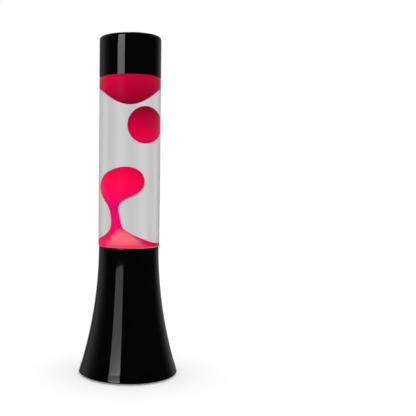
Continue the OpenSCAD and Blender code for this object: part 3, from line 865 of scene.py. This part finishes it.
def make_bulb_cap():
    low = thread_lo.z
    top = thread_hi.z - CAP_FLARE_H
    outside = [(low + up * MM, r * MM, 0) for up, r in CAP_FOOT_ROWS]
    outside += thread_rows(low + CAP_FOOT_H, top, THREAD_R, THREAD_WAVE)
    outside += [(top + up * MM, r * MM, 0) for up, r in CAP_FLARE_ROWS]
    inside = [(z, r - TIN, wave) for z, r, wave in outside]
    screw = threaded("bulb_cap_screw", outside, inside, PITCH)
    return piece(screw, "bulb", "bulb_metal", bulb_metal, "bulb_cap", angle=50)


def make_holder_shell():
    low, high = holder_lo.z, holder_hi.z
    radius = THREAD_R + THREAD_PLAY + TIN
    outside = [(low, HOLDER_RING_R, 0), (low + HOLDER_RING_T, HOLDER_RING_R, 0),
               (low + HOLDER_BEND_H, radius + THREAD_WAVE, 0)]
    outside += thread_rows(low + HOLDER_FOOT_H, high, radius, THREAD_WAVE)
    inside = [(z, r - TIN, wave) for z, r, wave in outside]
    screw = threaded("lampholder_shell_screw", outside, inside, PITCH)
    return piece(screw, "base", "brass", brass, "lampholder_shell", angle=50)


def make_nipple():
    low, high, outer = nipple_lo.z, nipple_hi.z, nipple_hi.x
    middle, root, end = outer - NIPPLE_DEPTH, outer - 2 * NIPPLE_DEPTH, 0.5 * MM
    outside = [(low, root, 0)]
    outside += thread_rows(low + end, high - end, middle, NIPPLE_DEPTH, NIPPLE_PITCH, 8)
    outside += [(high, root, 0)]
    inside = [(low, NIPPLE_BORE, 0), (high, NIPPLE_BORE, 0)]
    tube = threaded("holder_nipple_tube", outside, inside, NIPPLE_PITCH)
    return piece(tube, "base", "brass", brass, "holder_nipple", angle=50)


def bulb_side(inset, steps=28):
    """Reflector bulb from its seal up to the middle of the dome; inset shrinks it."""
    foot = bulb_lo.z
    seal_r, wide_r = SEAL_R - inset, WIDE_R - inset
    points = [(seal_r, foot), (seal_r, foot + SEAL_H)]
    points += arc(seal_r + SEAL_ROUND, foot + SEAL_ROUND_H, SEAL_ROUND, 180, 110, 4)
    for i in range(steps + 1):
        u = i / steps
        r = NECK_R + (WIDE_R - NECK_R) * math.sin(math.pi / 2 * u)
        points.append((r - inset, BOWL_Z + (WIDE_Z - BOWL_Z) * u))
    for i in range(1, steps):
        t = math.pi / 2 * i / steps
        points.append((wide_r * math.cos(t), WIDE_Z + (BULB_TOP - WIDE_Z - inset) * math.sin(t)))
    return points + [(0, BULB_TOP - inset)]


def bulb_material():
    """Silvered sides with a frosted, softly lit dome."""
    n = paint("bulb_glass")
    height = n.add("SeparateXYZ", {"Vector": n.place()}).outputs["Z"]
    dome = n.spread(height, 0, 1, FROST_FROM, FROST_TO)
    return n.surface(
        Base_Color=n.mix(dome, rgb(0.82, 0.83, 0.84), rgb(0.6, 0.57, 0.5)),
        Metallic=n.math("SUBTRACT", 1.0, dome),
        Roughness=n.spread(dome, 0.12, 0.55, 0.0, 1.0),
        Emission_Color=rgb(1, 0.8, 0.55),
        Emission_Strength=n.math("MULTIPLY", dome, 0.15),
        Normal=n.bump(n.noise(2200, 3), 0.00003, 0.4))


def make_bulb():
    shell = lathe("bulb_glass_shell", bulb_side(0) + bulb_side(BULB_WALL)[::-1], 128)
    return piece(shell, "bulb", "bulb_glass", bulb_material(), "bulb_envelope", angle=50)


def make_filament():
    """Coiled tungsten wire straight across the two leads."""
    low, high = filament_lo, filament_hi
    middle_z, wire_r = (low.z + high.z) / 2, 0.08 * MM
    coil_r = (high.z - low.z) / 2 - wire_r
    turns, per_turn = 44, 10
    count = turns * per_turn
    points = []
    for i in range(count + 1):
        a = 2 * math.pi * i / per_turn
        x = low.x + (high.x - low.x) * i / count
        points.append((x, coil_r * math.cos(a), middle_z + coil_r * math.sin(a)))
    coil = wire("bulb_filament_coil", points, wire_r)
    return piece(coil, "bulb", "tungsten", tungsten, "bulb_filament")


# ---------------------------------------------------------------- CAD nodes that keep their shape
KEPT = [
    (plate_black, ["base_plate"]),
    (rubber, ["foot_1", "foot_2", "foot_3", "foot_4", "cord_grommet"]),
    (zinc, ["base_plate_screws", "holder_bracket", "bracket_rivets", "holder_nuts", "earth_screw",
            "bulb_wires"]),
    (brass, ["lampholder_contact", "terminal_screws", "earth_tab"]),
    (holder_black, ["lampholder_skirt", "bulb_insulator"]),
    (ceramic, ["lampholder_core"]),
    (bulb_metal, ["bulb_contact"]),
    (glass, ["bulb_stem"]),
    (liner_grey, ["crown_liner"])]


def keep_nodes():
    for material, names in KEPT:
        for name in names:
            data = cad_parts[name].data
            data.materials.clear()
            data.materials.append(material)


# ---------------------------------------------------------------- camera, studio
CAMERA_DISTANCE = 0.75
CAMERA_HEIGHT = 0.2101
CAMERA_PITCH = 1.8
CAMERA_ROLL = 0.5
CAMERA_LENS = 62.1
# The lamp stands left of the picture's middle, and the camera sits above the lamp's.
CAMERA_SHIFT = (0.1897, -0.032)

# Studio brightness that gloss sees, from the side and front (0) to a window behind the lamp (1).
GLOSS_STOPS = [(0.0, 0.014), (0.12, 0.04), (0.24, 0.075), (0.36, 0.125), (0.5, 0.2), (0.65, 0.25),
               (0.8, 0.27), (0.87, 0.16), (0.93, 0.08), (0.972, 0.08), (0.978, 1.1), (1.0, 1.1)]
# How far left of straight behind that window stands, in degrees.
WINDOW_AT = 12
# Studio brightness seen through glass and liquid.
THROUGH_GLASS = 0.61
# Soft upright bands in it: how many round the lamp, how strong, and their place in degrees.
BAND_COUNT = 16
BAND_DEPTH = 0.04
BAND_TURN = 13.5

FLOOR_HALF = 4
FLOOR_DEPTH = 0.02
FLOOR_COLOUR = (0.97, 0.97, 0.97)
# The floor glows by itself, and this share of it is plain paper that takes the shadow.
FLOOR_GLOW = 1.9
FLOOR_SHARE = 0.88

# Softbox: height in metres, then its near and far edge in degrees left of the camera.
SOFTBOX_EDGES = [(0.076, 19, 46), (0.12, 19, 46), (0.2, 18, 44), (0.26, 17, 42), (0.42, 20, 46),
                 (0.5, 20, 46), (0.56, 20, 42), (0.9, 20, 42)]
# Strength of the softbox by height in metres.
SOFTBOX_STOPS = [(0.12, 1.2), (0.18, 1.6), (0.2, 2.1), (0.215, 2.8), (0.24, 4.0), (0.3, 4.2), (0.42, 2.9),
                 (0.47, 2.9), (0.54, 3.5), (0.57, 7.0), (0.75, 7.0), (0.8, 2.5), (0.9, 1.5)]
SOFTBOX_MAX = 8.0
SOFTBOX_DISTANCE = 0.8


def make_camera():
    data = bpy.data.cameras.new("camera")
    data.sensor_width = 36
    data.lens = CAMERA_LENS
    data.shift_x, data.shift_y = CAMERA_SHIFT
    data.clip_start, data.clip_end = 0.01, 20
    camera = new_object("camera", data)
    camera.location = (0, -CAMERA_DISTANCE, CAMERA_HEIGHT)
    aim = Matrix.Rotation(math.radians(90 - CAMERA_PITCH), 4, "X")
    roll = Matrix.Rotation(math.radians(CAMERA_ROLL), 4, "Z")
    camera.rotation_euler = (aim @ roll).to_euler()
    bpy.context.scene.camera = camera


def make_world():
    """Studio: white to the eye and to matt surfaces, grey through glass, dark in front for gloss."""
    world = bpy.data.worlds.new("studio")
    bpy.context.scene.world = world
    n = Nodes(world, "OutputWorld")
    direction = n.add("SeparateXYZ", {"Vector": n.add("TexCoord").outputs["Generated"]}).outputs
    azimuth = n.math("ARCTAN2", direction["X"], direction["Y"])
    behind = n.math("COSINE", n.math("ADD", azimuth, math.radians(WINDOW_AT)))
    reflected = n.ramp(behind, [(at, (grey, grey, grey)) for at, grey in GLOSS_STOPS])
    turned = n.math("MULTIPLY", n.math("ADD", azimuth, math.radians(BAND_TURN)), BAND_COUNT)
    bands = n.spread(n.math("COSINE", turned), THROUGH_GLASS - BAND_DEPTH, THROUGH_GLASS + BAND_DEPTH,
                     -1.0, 1.0)

    white = rgb(1, 1, 1)
    plain = n.add("Background", {"Color": white, "Strength": 1.0}).outputs[0]
    gloss = n.add("Background", {"Color": reflected, "Strength": 1.0}).outputs[0]
    through = n.add("Background", {"Color": white, "Strength": bands}).outputs[0]
    path = n.add("LightPath").outputs
    seen = n.add("MixShader", {0: path["Is Glossy Ray"], 1: plain, 2: gloss}).outputs[0]
    n.finish(n.add("MixShader", {0: path["Is Transmission Ray"], 1: seen, 2: through}).outputs[0])


def make_floor():
    n = paint("floor_paper")
    paper = n.add("BsdfDiffuse", {"Color": rgb(*FLOOR_COLOUR)}).outputs[0]
    glow = n.add("Emission", {"Color": rgb(1, 1, 1), "Strength": FLOOR_GLOW}).outputs[0]
    mixed = n.add("MixShader", {0: FLOOR_SHARE, 1: glow, 2: paper}).outputs[0]
    floor = block("floor", (-FLOOR_HALF, -FLOOR_HALF, -FLOOR_DEPTH), (FLOOR_HALF, FLOOR_HALF, 0))
    floor.data.materials.append(n.finish(mixed))
    floor.visible_glossy = False
    floor.visible_transmission = False


def make_softbox():
    """Tall soft light to the left of the camera; it shows as the upright streak on the gloss black."""
    mesh = bmesh.new()
    edges = []
    for z, *angles in SOFTBOX_EDGES:
        places = [(-math.sin(a), -math.cos(a)) for a in map(math.radians, angles)]
        edges.append([mesh.verts.new((SOFTBOX_DISTANCE * x, SOFTBOX_DISTANCE * y, z)) for x, y in places])
    for low, high in zip(edges, edges[1:]):
        mesh.faces.new((low[0], low[1], high[1], high[0]))
    box = finish_mesh("softbox", mesh)
    n = paint("softbox_glow")
    height = n.add("SeparateXYZ", {"Vector": n.place()}).outputs["Z"]
    grey = n.ramp(height, [(z, (power / SOFTBOX_MAX,) * 3) for z, power in SOFTBOX_STOPS])
    glow = n.add("Emission", {"Color": grey, "Strength": SOFTBOX_MAX}).outputs[0]
    box.data.materials.append(n.finish(glow))
    box.visible_camera = False
    box.visible_diffuse = False
    box.visible_transmission = False
    box.visible_shadow = False


make_camera()
make_world()
make_floor()
make_softbox()
make_base_shell()
make_top_cap()
make_bottle()
make_liquid()
make_column()
make_drop()
make_pool()
make_crown()
make_wire_coil()
make_bulb()
make_bulb_cap()
make_filament()
make_holder_shell()
make_nipple()
keep_nodes()

bpy.context.scene.view_settings.view_transform = "Standard"
bpy.context.scene.view_settings.look = "None"

bpy.context.view_layer.update()
